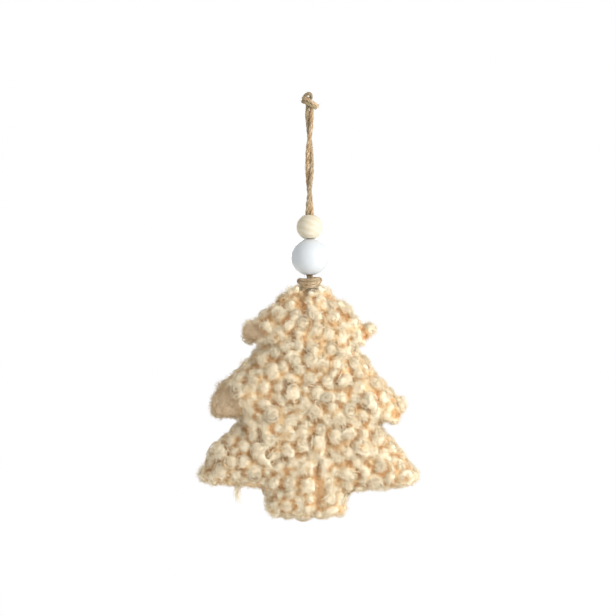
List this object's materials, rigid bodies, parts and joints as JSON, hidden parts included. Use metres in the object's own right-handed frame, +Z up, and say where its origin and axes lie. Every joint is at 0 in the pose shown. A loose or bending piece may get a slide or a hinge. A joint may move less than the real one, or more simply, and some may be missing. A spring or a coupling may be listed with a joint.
{
  "type": "plush christmas tree ornament",
  "caption": "Stuffed curly-pile fabric Christmas tree that hangs from a doubled jute twine with a natural and a white wooden bead.",
  "frame": {"origin": "the point that the ornament hangs and swings from, in the knot at the top of its twine", "axes": "+Z up along the hanging twine, the flat front of the tree faces -Y, +X to the right seen from the front"},
  "size_m": [0.118, 0.0282, 0.2316],
  "materials": {
    "curly_pile": "cream curly looped pile on a tan backing",
    "fibre_filling": "loose white fibre",
    "sewing_thread": "matt cotton",
    "jute_twine": "coarse twisted bast fibre",
    "bare_wood": "sanded, unvarnished",
    "white_paint": "satin white paint on a turned wooden bead"
  },
  "bodies": {
    "top_knot": {"top_knot": "jute_twine", "cut_end": "jute_twine"},
    "twine": {"twine_left": "jute_twine", "twine_right": "jute_twine"},
    "white_bead": {"white_bead": "white_paint"},
    "natural_bead": {"natural_bead": "bare_wood"},
    "stopper_knot": {"stopper_knot": "jute_twine"},
    "tree": {"front_panel": "curly_pile", "back_panel": "curly_pile", "filling": "fibre_filling", "seam_thread": "sewing_thread", "closing_thread": "sewing_thread", "anchor_loop": "jute_twine"}
  },
  "joints": [
    {"name": "swing", "type": "hinge", "parent": "top_knot", "child": "twine", "pos_m": [0, 0, 0], "axis": [0, 1, 0], "range_deg": [-35, 35]},
    {"name": "white_bead_slide", "type": "slide", "parent": "twine", "child": "white_bead", "axis": [0, 0, 1], "range_m": [0, 0.025]},
    {"name": "natural_bead_slide", "type": "slide", "parent": "white_bead", "child": "natural_bead", "axis": [0, 0, 1], "range_m": [0, 0.025]},
    {"name": "twist", "type": "hinge", "parent": "twine", "child": "stopper_knot", "pos_m": [0, 0, -0.094], "axis": [0, 0, 1], "range_deg": [-180, 180]},
    {"name": "tilt", "type": "hinge", "parent": "stopper_knot", "child": "tree", "pos_m": [0, 0, -0.0978], "axis": [1, 0, 0], "range_deg": [-20, 20]}
  ]
}
